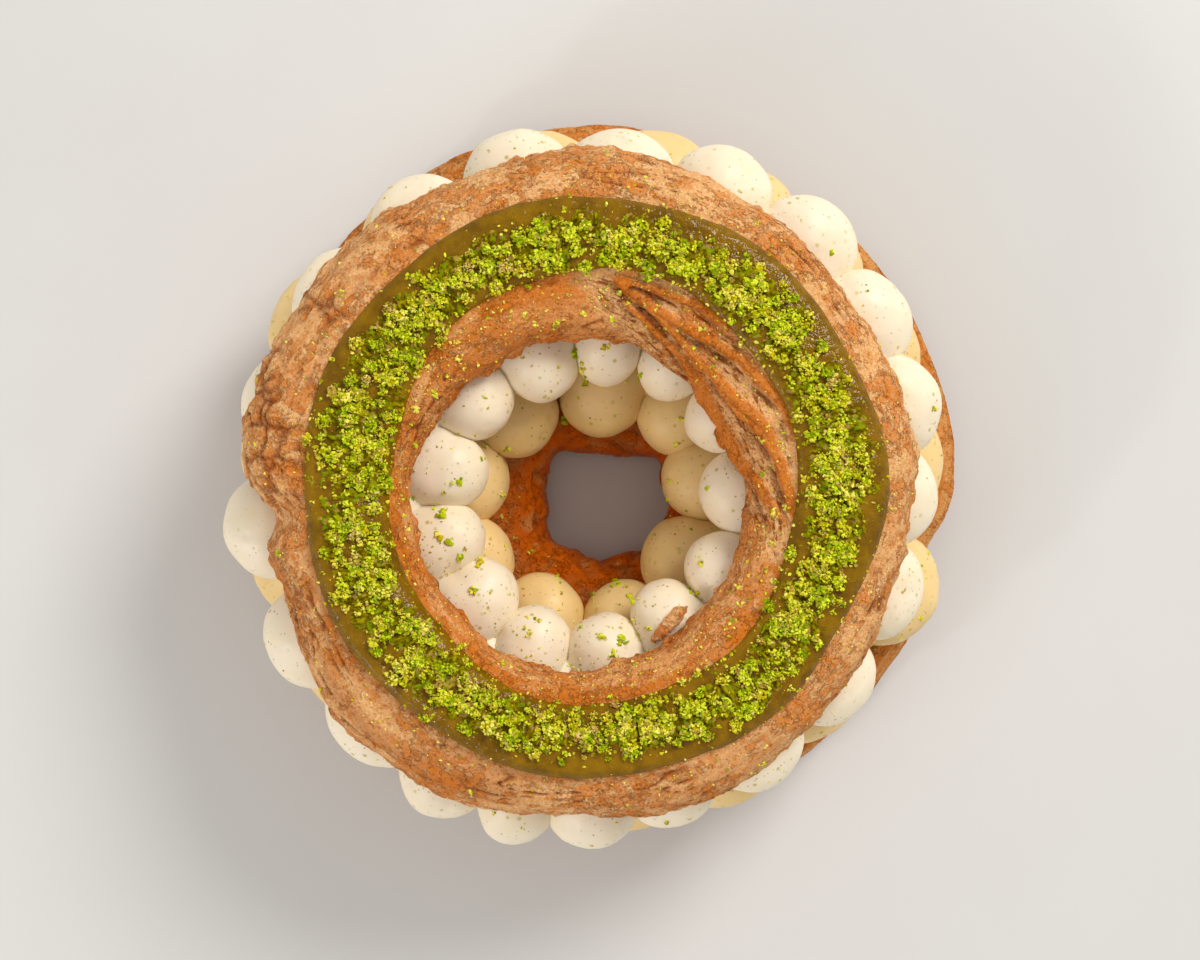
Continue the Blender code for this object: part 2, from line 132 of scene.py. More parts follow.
def write_points(piece, points):
    piece.data.vertices.foreach_set("co", np.ascontiguousarray(points, dtype=np.float32).ravel())
    piece.data.update()


def read_normals(piece):
    normals = np.empty(len(piece.data.vertices) * 3)
    piece.data.vertex_normals.foreach_get("vector", normals)
    return normals.reshape(-1, 3)


def store(piece, **layers):
    """Keep numbers from 0 to 1 for each point, by name, for the finish to read."""
    for name, values in layers.items():
        layer = piece.data.attributes.new(name, "FLOAT", "POINT")
        values = np.broadcast_to(np.clip(values, 0.0, 1.0), len(piece.data.vertices))
        layer.data.foreach_set("value", np.ascontiguousarray(values, dtype=np.float32))


def store_flow(piece, turn, arc):
    """Keep a place along and across the ring, so that a finish can run along it with no seam."""
    layer = piece.data.attributes.new("flow", "FLOAT_VECTOR", "POINT")
    flow = np.stack([FLOW_RADIUS * np.cos(turn), FLOW_RADIUS * np.sin(turn), arc], axis=-1)
    layer.data.foreach_set("vector", np.ascontiguousarray(flow, dtype=np.float32).ravel())


def deselect():
    bpy.ops.object.select_all(action="DESELECT")


def edge(rim, turn):
    """Radius of an uneven round edge at each turn."""
    size, waves, hills = rim
    radius = np.full_like(turn, size)
    for swell, count, peak in waves:
        radius += swell * np.cos(count * (turn - math.radians(peak)))
    for swell, middle, width in hills:
        radius += swell * hill(turn, middle, width)
    return radius


def from_photo(across, down, height):
    """The place on the board of a pixel of the photograph, at the given height."""
    scale = PHOTO_FOCAL / (CAMERA_PLACE[2] - height)
    return (across - PHOTO_MIDDLE[0]) / scale, (PHOTO_MIDDLE[1] - down) / scale + CAMERA_PLACE[1]


def hill(turn, middle, width):
    """1 at the middle turn, falling away on both sides (degrees)."""
    apart = (turn - math.radians(middle) + math.pi) % TAU - math.pi
    return np.exp(-(apart / math.radians(width)) ** 2)


def along(centre, radius, turn):
    return np.stack([centre[0] + radius * np.cos(turn), centre[1] + radius * np.sin(turn)], axis=-1)


def signed_power(value, power):
    return np.sign(value) * np.abs(value) ** power


def smooth(low, high, value):
    share = np.clip((value - low) / (high - low), 0.0, 1.0)
    return share * share * (3.0 - 2.0 * share)


def rough(points, size, seed):
    """Smooth noise from about -1 to 1 whose lumps are of the given size."""
    spots = (points / size + 17.3 * seed).tolist()
    return np.array([noise.noise(spot) for spot in spots])


def cells(points, size, seed):
    """Distance to the edge between cells of the given size: 0 on the edge."""
    spots = (points / size + 9.1 * seed).tolist()
    found = np.array([noise.voronoi(spot)[0][:2] for spot in spots])
    return found[:, 1] - found[:, 0]


def flow_points(turn, arc, length, width, drift=0.0):
    """Points for noise that is drawn out along the ring, with no seam where the turns meet."""
    girth = FLOW_RADIUS / length
    return np.stack([girth * np.cos(turn), girth * np.sin(turn), (arc + drift) / width], axis=-1)


def ring(name, around, across, parts=1):
    """A torus primitive, and the turn and lean of each of its points.

    The primitive allows 256 segments at most, so a finer one is split into parts along every edge.
    """
    deselect()
    bpy.ops.mesh.primitive_torus_add(major_segments=around, minor_segments=across,
                                     major_radius=1.0, minor_radius=0.5)
    piece = bpy.context.active_object
    piece.name = name
    if parts > 1:
        bpy.ops.object.mode_set(mode="EDIT")
        bpy.ops.mesh.select_all(action="SELECT")
        bpy.ops.mesh.subdivide(number_cuts=parts - 1)
        bpy.ops.object.mode_set(mode="OBJECT")
    points = read_points(piece)
    turn = np.arctan2(points[:, 1], points[:, 0])
    lean = np.arctan2(points[:, 2], np.hypot(points[:, 0], points[:, 1]) - 1.0)
    return piece, turn, lean


def place_piece(piece, material, slot, *nodes):
    """Finish a piece, tie it to the body, and let it stand for the solids that it dresses."""
    deselect()
    piece.data.materials.append(material)
    piece.data.shade_smooth()
    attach(piece, "root")
    if nodes:
        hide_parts(*nodes)


class Finish:
    """A Principled material, built node by node."""

    def __init__(self, name, roughness, **sockets):
        self.material = bpy.data.materials.new(name)
        self.material.use_nodes = True
        self.tree = self.material.node_tree
        self.shader = self.tree.nodes["Principled BSDF"]
        self.shader.inputs["Roughness"].default_value = roughness
        for socket, value in sockets.items():
            self.shader.inputs[socket.replace("_", " ")].default_value = value
        self.place = self.node("ShaderNodeTexCoord").outputs["Object"]

    def node(self, kind, inputs=None, **settings):
        made = self.tree.nodes.new(kind)
        for name, value in settings.items():
            setattr(made, name, value)
        for socket, value in (inputs or {}).items():
            self.feed(made.inputs[socket], value)
        return made

    def feed(self, socket, value):
        if isinstance(value, bpy.types.NodeSocket):
            self.tree.links.new(value, socket)
        elif isinstance(value, tuple) and len(value) == 3 and socket.type == "RGBA":
            socket.default_value = (*value, 1.0)
        else:
            socket.default_value = value

    def noise(self, size, detail=3.0, roughness=0.55, vector=None):
        inputs = {"Vector": vector or self.place, "Scale": 1.0 / size,
                  "Detail": detail, "Roughness": roughness}
        return self.node("ShaderNodeTexNoise", inputs).outputs["Fac"]

    def spots(self, size, vector=None):
        """Voronoi cells: the distance to each cell's middle, and the cell's own random colour."""
        made = self.node("ShaderNodeTexVoronoi", {"Vector": vector or self.place, "Scale": 1.0 / size})
        return made.outputs["Distance"], made.outputs["Color"]

    def kept(self, name):
        return self.node("ShaderNodeAttribute", attribute_name=name).outputs["Fac"]

    def streaks(self, length, width, detail=3.0, roughness=0.55):
        """Noise drawn out along the ring."""
        flow = self.node("ShaderNodeAttribute", attribute_name="flow").outputs["Vector"]
        stretch = (1.0 / length, 1.0 / length, 1.0 / width)
        spread = self.node("ShaderNodeVectorMath", {0: flow, 1: stretch}, operation="MULTIPLY")
        return self.noise(1.0, detail, roughness, spread.outputs["Vector"])

    def ramp(self, value, low, high, start=0.0, end=1.0):
        inputs = {"Value": value, "From Min": low, "From Max": high, "To Min": start, "To Max": end}
        return self.node("ShaderNodeMapRange", inputs, clamp=True).outputs["Result"]

    def maths(self, operation, *values):
        made = self.node("ShaderNodeMath", dict(enumerate(values)), operation=operation)
        return made.outputs["Value"]

    def times(self, first, second):
        return self.maths("MULTIPLY", first, second)

    def plus(self, first, second):
        return self.maths("ADD", first, second)

    def minus(self, first, second):
        return self.maths("SUBTRACT", first, second)

    def channels(self, colour):
        """The red, green and blue of a cell's random colour, as three random numbers."""
        return self.node("ShaderNodeSeparateColor", {"Color": colour}).outputs

    def mix(self, share, first, second):
        made = self.node("ShaderNodeMix", {"Factor": share}, data_type="RGBA")
        self.feed(made.inputs[6], first)
        self.feed(made.inputs[7], second)
        return made.outputs[2]

    def bump(self, height, depth, strength=1.0):
        inputs = {"Height": height, "Distance": depth, "Strength": strength}
        return self.node("ShaderNodeBump", inputs).outputs["Normal"]

    def finish(self, colour=None, roughness=None, normal=None):
        for name, value in (("Base Color", colour), ("Roughness", roughness), ("Normal", normal)):
            if value is not None:
                self.feed(self.shader.inputs[name], value)
        return self.material


TAN_CRUST = (0.820, 0.335, 0.080)
PALE_CRUST = (0.970, 0.630, 0.310)
ORANGE_CRUST = (0.680, 0.180, 0.008)
DARK_CRUST = (0.260, 0.042, 0.002)
GLOSSY_CRUST = (0.820, 0.165, 0.003)
DARKER_FLANK_CRUST = (0.560, 0.210, 0.065)
SLOT_CRUST = (0.320, 0.070, 0.006)


def choux_finish(name, pale, tan, orange, roughness):
    """Baked crust: sandy and porous, with crisp patches of orange skin, dark pores and cracks.

    The piece keeps what steers it: crest and baked brown the crust, valley and porous open it,
    the layer for cracks darkens it, and glossy turns it to smooth skin. On the lid, crest also holds
    painted shade in the hollows, the layer for cracks also holds painted shade in the fan's creases,
    and baked makes the lower-left outer flank darker and browner.
    """
    crust = Finish(name, roughness, Subsurface_Weight=0.04, Subsurface_Scale=0.0015, Specular_IOR_Level=0.12)
    sand = crust.noise(0.75 * MM, detail=4.0, roughness=0.8)
    wander = crust.noise(6.0 * MM, detail=7.0, roughness=0.62)
    mottle = crust.noise(4.5 * MM, detail=8.0, roughness=0.68)
    patches = crust.noise(17 * MM, detail=3.0, roughness=0.6)
    fibre = crust.streaks(8 * MM, 1.5 * MM, detail=5.0, roughness=0.65)
    pore_distance, _ = crust.spots(1.2 * MM)
    big_distance, big_colour = crust.spots(2.6 * MM)
    colour = crust.mix(crust.ramp(sand, 0.39, 0.62), tan, pale)
    # Darker and browner where the lid's lower-left outer flank is marked.
    colour = crust.mix(crust.times(crust.kept("baked"), 0.85), colour, DARKER_FLANK_CRUST)
    skin = crust.plus(mottle, crust.times(crust.minus(patches, 0.5), 0.8))
    skin = crust.plus(skin, crust.times(crust.minus(fibre, 0.5), 0.45))
    flake = crust.ramp(skin, 0.495, 0.530)
    deep_flake = crust.ramp(skin, 0.53, 0.68)
    browned = crust.maths("MAXIMUM", crust.times(flake, 0.75), deep_flake)
    colour = crust.mix(crust.times(browned, crust.ramp(sand, 0.36, 0.64, 1.0, 0.55)), colour, orange)
    # Orange where crest is set: the lid's browned streaks and fan ridges, and painted shade in its hollows.
    on_crest = crust.times(crust.kept("crest"), crust.ramp(sand, 0.40, 0.66, 1.0, 0.7))
    colour = crust.mix(on_crest, colour, orange)
    porous = crust.kept("porous")
    pores = crust.ramp(pore_distance, 0.12, 0.30, 0.75, 0.0)
    colour = crust.mix(crust.times(pores, porous), colour, DARK_CRUST)
    seldom = crust.maths("LESS_THAN", crust.channels(big_colour)[0], 0.28)
    holes = crust.times(crust.ramp(big_distance, 0.12, 0.24, 0.9, 0.0), seldom)
    colour = crust.mix(crust.times(holes, porous), colour, DARK_CRUST)
    slots = crust.ramp(crust.streaks(4.5 * MM, 0.9 * MM, detail=3.0, roughness=0.6), 0.38, 0.47, 0.9, 0.0)
    colour = crust.mix(crust.times(slots, crust.kept("valley")), colour, SLOT_CRUST)
    vein = crust.maths("ABSOLUTE", crust.minus(wander, 0.5))
    veins = crust.times(crust.ramp(vein, 0.002, 0.016, 0.8, 0.0), crust.ramp(patches, 0.44, 0.56))
    colour = crust.mix(crust.times(veins, 0.45), colour, DARK_CRUST)
    # Dark in the cracks, and on the lid also painted shade in the fan's creases.
    colour = crust.mix(crust.kept("crack"), colour, DARK_CRUST)
    colour = crust.mix(crust.kept("glossy"), colour, GLOSSY_CRUST)
    pitted = crust.times(crust.ramp(pore_distance, 0.05, 0.35), 0.5)
    height = crust.plus(crust.times(sand, 0.8), pitted)
    for layer, depth in ((mottle, 1.8), (flake, 0.45), (fibre, 0.5)):
        height = crust.plus(height, crust.times(layer, depth))
    height = crust.minus(height, crust.times(veins, 0.5))
    normal = crust.bump(height, 0.62 * MM)
    shine = crust.minus(roughness, crust.times(crust.kept("glossy"), 0.3))
    return crust.finish(colour, shine, normal)


def cream_finish(name, colour, shade):
    """Smooth mousseline with fine nut specks, small bubbles and a soft translucence."""
    cream = Finish(name, 0.42, Subsurface_Weight=0.12, Subsurface_Scale=0.0016, Specular_IOR_Level=0.35)
    cream.shader.inputs["Subsurface Radius"].default_value = (1.0, 0.65, 0.35)
    cloud = cream.noise(9 * MM, detail=2.0)
    body = cream.mix(cream.ramp(cloud, 0.35, 0.7), colour, shade)
    thick = cream.ramp(cream.noise(11 * MM, detail=1.0), 0.42, 0.56, 0.30, 1.0)
    for size, reach, share, strength, speck in ((3.4 * MM, 0.22, 0.75, 0.75, (0.46, 0.38, 0.02)),
                                                (1.9 * MM, 0.20, 0.45, 0.80, (0.44, 0.36, 0.02)),
                                                (2.8 * MM, 0.14, 0.60, 0.85, (0.26, 0.09, 0.02)),
                                                (1.5 * MM, 0.15, 0.22, 0.80, (0.22, 0.07, 0.02))):
        distance, random_colour = cream.spots(size)
        chosen = cream.maths("LESS_THAN", cream.channels(random_colour)[0], share)
        dot = cream.times(cream.ramp(distance, reach * 0.5, reach, strength, 0.0), chosen)
        body = cream.mix(cream.times(dot, thick), body, speck)
    ripple = cream.noise(1.6 * MM, detail=3.0)
    normal = cream.bump(ripple, 0.07 * MM, 0.6)
    return cream.finish(body, None, normal)


def glaze_finish():
    """Thick olive glaze, glossy, with tiny bubbles and darker thick places."""
    glaze = Finish("pistachio_glaze", 0.07, Specular_IOR_Level=0.18)
    cloud = glaze.noise(6 * MM, detail=3.0)
    fine = glaze.noise(0.8 * MM, detail=2.0)
    body = glaze.mix(glaze.ramp(cloud, 0.35, 0.65), (0.148, 0.070, 0.0004), (0.255, 0.128, 0.0006))
    body = glaze.mix(glaze.ramp(fine, 0.60, 0.75, 0.0, 0.35), body, (0.42, 0.27, 0.004))
    distance, _ = glaze.spots(2.6 * MM)
    bubbles = glaze.ramp(distance, 0.08, 0.15, 1.0, 0.0)
    height = glaze.plus(glaze.times(bubbles, 0.3), glaze.noise(1.7 * MM, detail=2.0))
    return glaze.finish(body, None, glaze.bump(height, 0.55 * MM))


# Each crushed nut finish runs from a dark tone over its body to a bright one; on the clumps, low tones also
# serve as painted shade and high ones as painted light
CRUMB_COLOURS = {
    "crumbs_green": ((0.06, 0.028, 0.0006), (0.54, 0.48, 0.001), (0.94, 0.91, 0.05)),
    "crumbs_lime": ((0.06, 0.032, 0.0006), (0.50, 0.53, 0.001), (0.86, 0.94, 0.05)),
    "crumbs_yellow": ((0.10, 0.05, 0.0008), (0.72, 0.58, 0.002), (1.0, 0.94, 0.16)),
    "crumbs_deep_green": ((0.04, 0.03, 0.0006), (0.37, 0.44, 0.001), (0.68, 0.80, 0.02)),
    "crumbs_skin": ((0.16, 0.07, 0.006), (0.56, 0.34, 0.06), (0.86, 0.64, 0.20)),
}
# The bed's colours are darker than the crumbs': painted shade in the gaps between the clumps.
SHADED_BED_COLOURS = ((0.05, 0.024, 0.0005), (0.34, 0.28, 0.001), (0.72, 0.68, 0.02))

# A clump is of the first kind whose number is above the clump's random one
CRUMB_SHARES = (("crumbs_lime", 0.27), ("crumbs_yellow", 0.50), ("crumbs_green", 0.77),
                ("crumbs_deep_green", 0.975), ("crumbs_skin", 1.0))


def nut_finish(name, dark, body, bright):
    """Crushed pistachio: every crumb has its own tone, partly random and partly painted light and shade, and
    its broken faces are grainy.
    """
    nut = Finish(name, 0.75, Specular_IOR_Level=0.04)
    grain = nut.noise(0.5 * MM, detail=4.0, roughness=0.75)
    tone = nut.plus(nut.times(nut.kept("tone"), 0.85), nut.times(grain, 0.5))
    colour = nut.mix(nut.ramp(tone, 0.18, 0.50), dark, body)
    colour = nut.mix(nut.ramp(tone, 0.50, 0.90), colour, bright)
    _, random_colour = nut.spots(1.1 * MM)
    channels = nut.channels(random_colour)
    for channel, often, fleck in ((0, 0.10, (0.50, 0.29, 0.07)), (1, 0.14, (0.22, 0.34, 0.003))):
        flecks = nut.times(nut.maths("LESS_THAN", channels[channel], often), 0.7)
        colour = nut.mix(flecks, colour, fleck)
    return nut.finish(colour, None, nut.bump(grain, 0.40 * MM, 0.95))


def smooth_lid(turn, lean):
    """The lid without its relief, and the arc length across its section."""
    part = (lean % TAU) / TAU
    top = -LID_TOP_SPILL + (math.pi + 2.0 * LID_TOP_SPILL) * part / LID_TOP_SHARE
    under = (part - LID_TOP_SHARE) / (1.0 - LID_TOP_SHARE)
    below = math.pi + LID_TOP_SPILL + (math.pi - 2.0 * LID_TOP_SPILL) * under
    lean = np.where(part < LID_TOP_SHARE, top, below)
    outer = along(LID_CENTRE, edge(LID_EDGE, turn), turn)
    inner = along(LID_HOLE_CENTRE, edge(LID_HOLE, turn), turn)
    share = 0.5 + 0.5 * signed_power(np.cos(lean), LID_SIDE_POWER)
    flat = inner + (outer - inner) * share[:, None]
    height = LID_WIDEST + LID_DOME * signed_power(np.sin(lean), LID_CROWN_POWER)
    height = np.maximum(height, LID_BOTTOM)
    return np.column_stack([flat, height]), lean


def lid_crown(points):
    """Height of the smooth dome above each point of the board."""
    across = np.zeros(len(points))
    inner_centre = np.array(LID_HOLE_CENTRE)
    outer_centre = np.array(LID_CENTRE)
    for _ in range(6):
        centre = inner_centre + (outer_centre - inner_centre) * (0.5 + 0.5 * across)[:, None]
        away = points[:, :2] - centre
        turn = np.arctan2(away[:, 1], away[:, 0])
        inner = edge(LID_HOLE, turn)
        outer = edge(LID_EDGE, turn)
        across = np.clip(2.0 * (np.hypot(away[:, 0], away[:, 1]) - inner) / (outer - inner) - 1.0, -1.0, 1.0)
    inside = np.maximum(1.0 - np.abs(across) ** (2.0 / LID_SIDE_POWER), 0.0)
    return LID_WIDEST + LID_DOME * inside ** (0.5 * LID_CROWN_POWER)


def glaze_distance(points):
    """How far each point lies outside the glaze band, negative on it."""
    away = points[:, :2] - np.array(GLAZE_CENTRE)
    turn = np.arctan2(away[:, 1], away[:, 0])
    reach = np.hypot(away[:, 0], away[:, 1])
    return np.maximum(edge(GLAZE_INNER, turn) - reach, reach - edge(GLAZE_OUTER, turn))


def ridge_line(knots):
    """A smooth, closely spaced line through a few places in the photograph."""
    places = np.array([from_photo(across, down, FAN_HEIGHT) for across, down in knots])
    steps = np.linspace(0.0, len(places) - 1.0, 90)
    line = np.column_stack([np.interp(steps, np.arange(len(places)), places[:, axis]) for axis in (0, 1)])
    for _ in range(40):
        line[1:-1] = 0.5 * line[1:-1] + 0.25 * (line[:-2] + line[2:])
    return line


def fan_ridges(points):
    """The fan's crests, the creases on their shaded side (later painted dark, as painted shade), and where
    the fan shows, from 0 to 1.
    """
    crest = np.zeros(len(points))
    shaded_crease = np.zeros(len(points))
    nearest = np.full(len(points), 1.0)
    near = np.flatnonzero((points[:, 0] > -8 * MM) & (points[:, 1] > -30 * MM))
    wander = np.column_stack([rough(points[near], 8 * MM, seed=3), rough(points[near], 8 * MM, seed=23)])
    places = points[near, :2] + 0.8 * MM * wander
    uneven = rough(points[near], 5 * MM, seed=24)
    for knots in FAN_RIDGES:
        line = ridge_line(knots)
        gaps = np.hypot(places[:, None, 0] - line[None, :, 0], places[:, None, 1] - line[None, :, 1])
        at = np.clip(np.argmin(gaps, axis=1), 1, len(line) - 2)
        away = places - line[at]
        heading = line[at + 1] - line[at - 1]
        cross = heading[:, 1] * away[:, 0] - heading[:, 0] * away[:, 1]
        beside = cross / np.hypot(heading[:, 0], heading[:, 1])
        distance = gaps.min(axis=1)
        share = at / len(line)
        strength = smooth(0.0, 0.10, share) * (1.0 - smooth(0.80, 0.99, share)) * (0.85 + 0.35 * uneven)
        width = (0.8 + 0.7 * smooth(0.05, 0.5, share)) * MM
        crest[near] = np.maximum(crest[near], strength * np.exp(-(distance / width) ** 2))
        hollow = np.exp(-((beside - 1.7 * width) / (0.45 * width)) ** 2)
        shaded_crease[near] = np.maximum(shaded_crease[near], strength * hollow * smooth(-0.5, 0.1, uneven))
        nearest[near] = np.minimum(nearest[near], distance)
    return crest, shaded_crease * (1.0 - smooth(0.3, 0.7, crest)), 1.0 - smooth(4.0 * MM, 8.0 * MM, nearest)


def lid_crust():
    piece, turn, lean = ring("lid_crust", around=256, across=43, parts=3)
    points, lean = smooth_lid(turn, lean)
    write_points(piece, points)
    normals = read_normals(piece)
    arc = lean * LID_SECTION_RADIUS
    inner_side = smooth(1.55, 1.75, lean) * (1.0 - smooth(3.35, 3.5, lean))
    outer_side = 1.0 - smooth(1.2, 1.6, lean)
    crest, shaded_crease, fan = fan_ridges(points)
    fan = fan * inner_side
    drift = 4 * MM * np.sin(turn + 0.5) + 2 * MM * np.sin(3.0 * turn)
    bands = rough(flow_points(turn, arc, 34 * MM, 5.5 * MM, drift), 1.0, seed=15)
    wrinkles = rough(flow_points(turn, arc, 20 * MM, 2.6 * MM, drift), 1.0, seed=1)
    fibres = rough(flow_points(turn, arc, 9 * MM, 1.3 * MM, drift), 1.0, seed=2)
    lumps = rough(points, 12 * MM, seed=4)
    knobs = rough(points, 4.0 * MM, seed=5)
    folds = 1.0 - smooth(0.02, 0.20, cells(points + 1.8 * MM * knobs[:, None], 8 * MM, seed=16))
    folded = np.maximum(hill(turn, 160, 24), 0.4 * hill(turn, 198, 16))
    folded = folded * outer_side * smooth(-0.5, 0.2, lumps)
    splits = np.abs(rough(flow_points(turn, arc, 22 * MM, 4.2 * MM, drift), 1.0, seed=6))
    # The lower-left outer flank: more wrinkles and cracks, and a darker, browner colour.
    lower_left_flank = hill(turn, -118, 68) * outer_side
    where_split = smooth(0.05, 0.4, rough(points, 22 * MM, seed=7) + 0.35 * lower_left_flank)
    crack = (1.0 - smooth(0.012, 0.06, splits)) * where_split * (1.0 - 0.8 * fan)
    crack = np.maximum(crack, folds * folded)
    puffs = (1.0 - folds) * folded
    grit = rough(points, 1.1 * MM, seed=8)
    valley = fan * (1.0 - smooth(0.15, 0.6, crest))
    bare = smooth(0.3 * MM, 3.0 * MM, glaze_distance(points))
    top = smooth(LID_BOTTOM + 0.2 * MM, LID_BOTTOM + 2.5 * MM, points[:, 2])
    crumbly = rough(points, 2.0 * MM, seed=18)
    relief = 1.0 * MM * lumps + 0.34 * MM * knobs + 0.20 * MM * crumbly + 0.4 * MM * bands + 0.55 * MM * puffs
    relief += (0.15 + 0.55 * lower_left_flank) * MM * wrinkles + 0.12 * MM * fibres
    relief = relief * (1.0 - 0.6 * fan) + fan * (FAN_RISE * (crest - 0.4) - 1.1 * MM * shaded_crease)
    relief = relief - 0.7 * MM * crack + 0.13 * MM * grit + 0.45 * MM * valley * (grit + 0.7 * fibres)
    relief = relief * (0.12 + 0.88 * bare) * top
    points = points + normals * relief[:, None]
    torn = smooth(2.85, 3.3, lean) * (1.0 - smooth(3.6, 4.0, lean))
    ragged = (1.0 - smooth(0.05, 0.35, np.abs(lean))) * 0.8
    tear = rough(points, 4.5 * MM, seed=17) + 0.55 * rough(points, 2.0 * MM, seed=9) + 0.2 * grit
    fray = (1.5 * torn + ragged) * 1.3 * MM * tear * top
    points[:, 0] += fray * np.cos(turn)
    points[:, 1] += fray * np.sin(turn)
    points[:, 2] = np.maximum(points[:, 2], LID_BOTTOM)
    write_points(piece, points)
    crown = 0.35 * smooth(0.05, 0.5, wrinkles) * smooth(-0.2, 0.4, bands)
    beside_glaze = np.exp(-(glaze_distance(points) / (5.5 * MM)) ** 2)
    beside_glaze *= smooth(-0.45, 0.15, wrinkles + 0.6 * knobs)
    hole_rim = hill(lean, 180, 14) * smooth(-0.3, 0.3, knobs)
    seam_bake = 0.4 * hill(turn, 98, 28)
    inner_bake = inner_side * np.clip(0.85 * beside_glaze + 0.55 * hole_rim + 0.25 + seam_bake, 0.0, 1.0)
    # Painted shade: the hollows among the knobs and crumbs are coloured a darker orange through crest.
    painted_hollow_shade = 0.65 * smooth(0.02, 0.5, -0.7 * knobs - 0.5 * crumbly - 0.3 * grit)
    crown = np.maximum(crown, painted_hollow_shade)
    baked_crest = fan * smooth(0.15, 0.45, crest)
    store(piece, glossy=0.0,
          # crest also carries the orange painted shade of the hollows
          crest=baked_crest + np.maximum(crown, inner_bake) * (1.0 - fan),
          valley=valley * bare,
          # baked only makes the lower-left outer flank darker and browner
          baked=0.75 * lower_left_flank * smooth(-0.5, 0.3, bands),
          porous=(0.45 + 0.4 * torn) * bare,
          # the layer for cracks also carries painted shade in the fan's creases on the ridges' shaded side
          crack=np.maximum(0.8 * crack, 0.85 * fan * shaded_crease) * bare * top)
    from_fan = np.hypot(points[:, 0] - FAN_CENTRE[0], points[:, 1] - FAN_CENTRE[1])
    along_fan = 0.5 * math.pi * LID_SECTION_RADIUS + FAN_MIDDLE_REACH - from_fan
    store_flow(piece, turn, (arc + drift) * (1.0 - fan) + along_fan * fan)
    material = choux_finish("lid_crust", PALE_CRUST, TAN_CRUST, ORANGE_CRUST, roughness=0.66)
    place_piece(piece, material, "choux_lid", "choux_lid")
    return material


def base_crust():
    piece, turn, lean = ring("base_crust", around=213, across=32, parts=3)
    outer = along(BASE_CENTRE, edge(BASE_EDGE, turn), turn)
    inner = along(BASE_HOLE_CENTRE, edge(BASE_HOLE, turn), turn)
    outward = np.cos(lean)
    out = outward > 0.0
    rise = np.where(out, BASE_OUTER_RISE, BASE_INNER_RISE)
    height = np.clip(BASE_WIDEST + rise * signed_power(np.sin(lean), 0.9), 0.0, BASE_TOP)
    rounding = np.where(out, BASE_OUTER_ROUNDING, BASE_INNER_ROUNDING)
    share = 0.5 + 0.5 * np.sign(outward) * np.abs(outward) ** rounding
    points = np.column_stack([inner + (outer - inner) * share[:, None], height])
    write_points(piece, points)
    normals = read_normals(piece)
    arc = lean * BASE_SECTION_RADIUS
    drift = 3 * MM * np.sin(2.0 * turn)
    side = smooth(0.35 * MM, 2.0 * MM, height)
    side = side * (1.0 - smooth(BASE_TOP - 0.8 * MM, BASE_TOP - 0.1 * MM, height))
    ridges = 0.5 - 0.5 * np.cos(TAU * (height + 1.5 * MM * np.sin(3.0 * turn)) / BASE_RIDGE_PITCH)
    wrinkles = rough(flow_points(turn, arc, 20 * MM, 2.6 * MM, drift), 1.0, seed=11)
    fibres = rough(flow_points(turn, arc, 8 * MM, 1.1 * MM, drift), 1.0, seed=12)
    lumps = rough(points, 9 * MM, seed=13)
    grit = rough(points, 1.0 * MM, seed=14)
    creases = cells(points + 3.5 * MM * lumps[:, None], 14 * MM, seed=19)
    torn = rough(points, 4.5 * MM, seed=20)
    relief = 0.7 * MM * lumps + 0.5 * MM * wrinkles + 0.2 * MM * fibres + 0.15 * MM * grit
    relief -= np.where(out, 0.6 * MM * ridges, 0.0)
    inside = np.where(out, 0.0, 1.0)
    calm = 0.35 + 0.65 * smooth(2.0 * MM, 6.0 * MM, np.abs(height - BASE_WIDEST))
    relief += inside * calm * (1.9 * MM * smooth(0.0, 0.35, creases) - 1.3 * MM + 0.5 * MM * torn)
    points = points + normals * (relief * side)[:, None]
    points[:, 2] = np.clip(points[:, 2], 0.0, BASE_TOP)
    write_points(piece, points)
    from_hole = np.hypot(points[:, 0] - BASE_HOLE_CENTRE[0], points[:, 1] - BASE_HOLE_CENTRE[1])
    hole = 1.0 - smooth(24 * MM, 36 * MM, from_hole)
    store(piece, porous=0.4, valley=0.0, baked=0.0,
          crest=0.25 + 0.5 * smooth(0.0, 0.5, wrinkles) + 0.3 * ridges,
          crack=inside * side * (1.0 - smooth(0.01, 0.10, creases)) * 0.8,
          glossy=hole * (0.35 + 0.65 * smooth(-0.40, 0.05, torn + 0.5 * wrinkles)))
    store_flow(piece, turn, arc + drift)
    material = choux_finish("base_crust", (0.86, 0.50, 0.20), (0.66, 0.30, 0.08), ORANGE_CRUST, roughness=0.6)
    place_piece(piece, material, "choux_base", "choux_base")


@dataclass
class Row:
    """A row of cream balls: its ring, its ball size, and how the balls crowd along it.

    The edge is the radius that the balls reach, and the depth is half a ball across the ring,
    negative where the balls reach inwards. Plump is half a ball's width as a share of the spacing,
    widest is the most that half width can be, and proud is how much further out some balls sit.
    """

    count: int
    centre: tuple
    edge: float
    depth: float
    plump: float
    widest: float
    start: float
    clockwise: bool
    crowding: tuple
    proud: dict

    def turn(self, index):
        """Evenly spaced turns, pushed together and apart by slow waves (degrees, size and phase)."""
        even = (-360.0 if self.clockwise else 360.0) * index / self.count
        shift = 0.0
        for order, (size, phase) in enumerate(self.crowding, start=1):
            shift += size * math.cos(math.radians(order * even - phase))
        return math.radians(self.start + even + shift)

    def half_width(self, index):
        """A ball is as wide as its neighbours leave room for, up to the widest."""
        room = abs(self.turn(index + 1) - self.turn(index - 1)) / 2.0
        return min(self.plump * room * (self.edge - self.depth), self.widest)


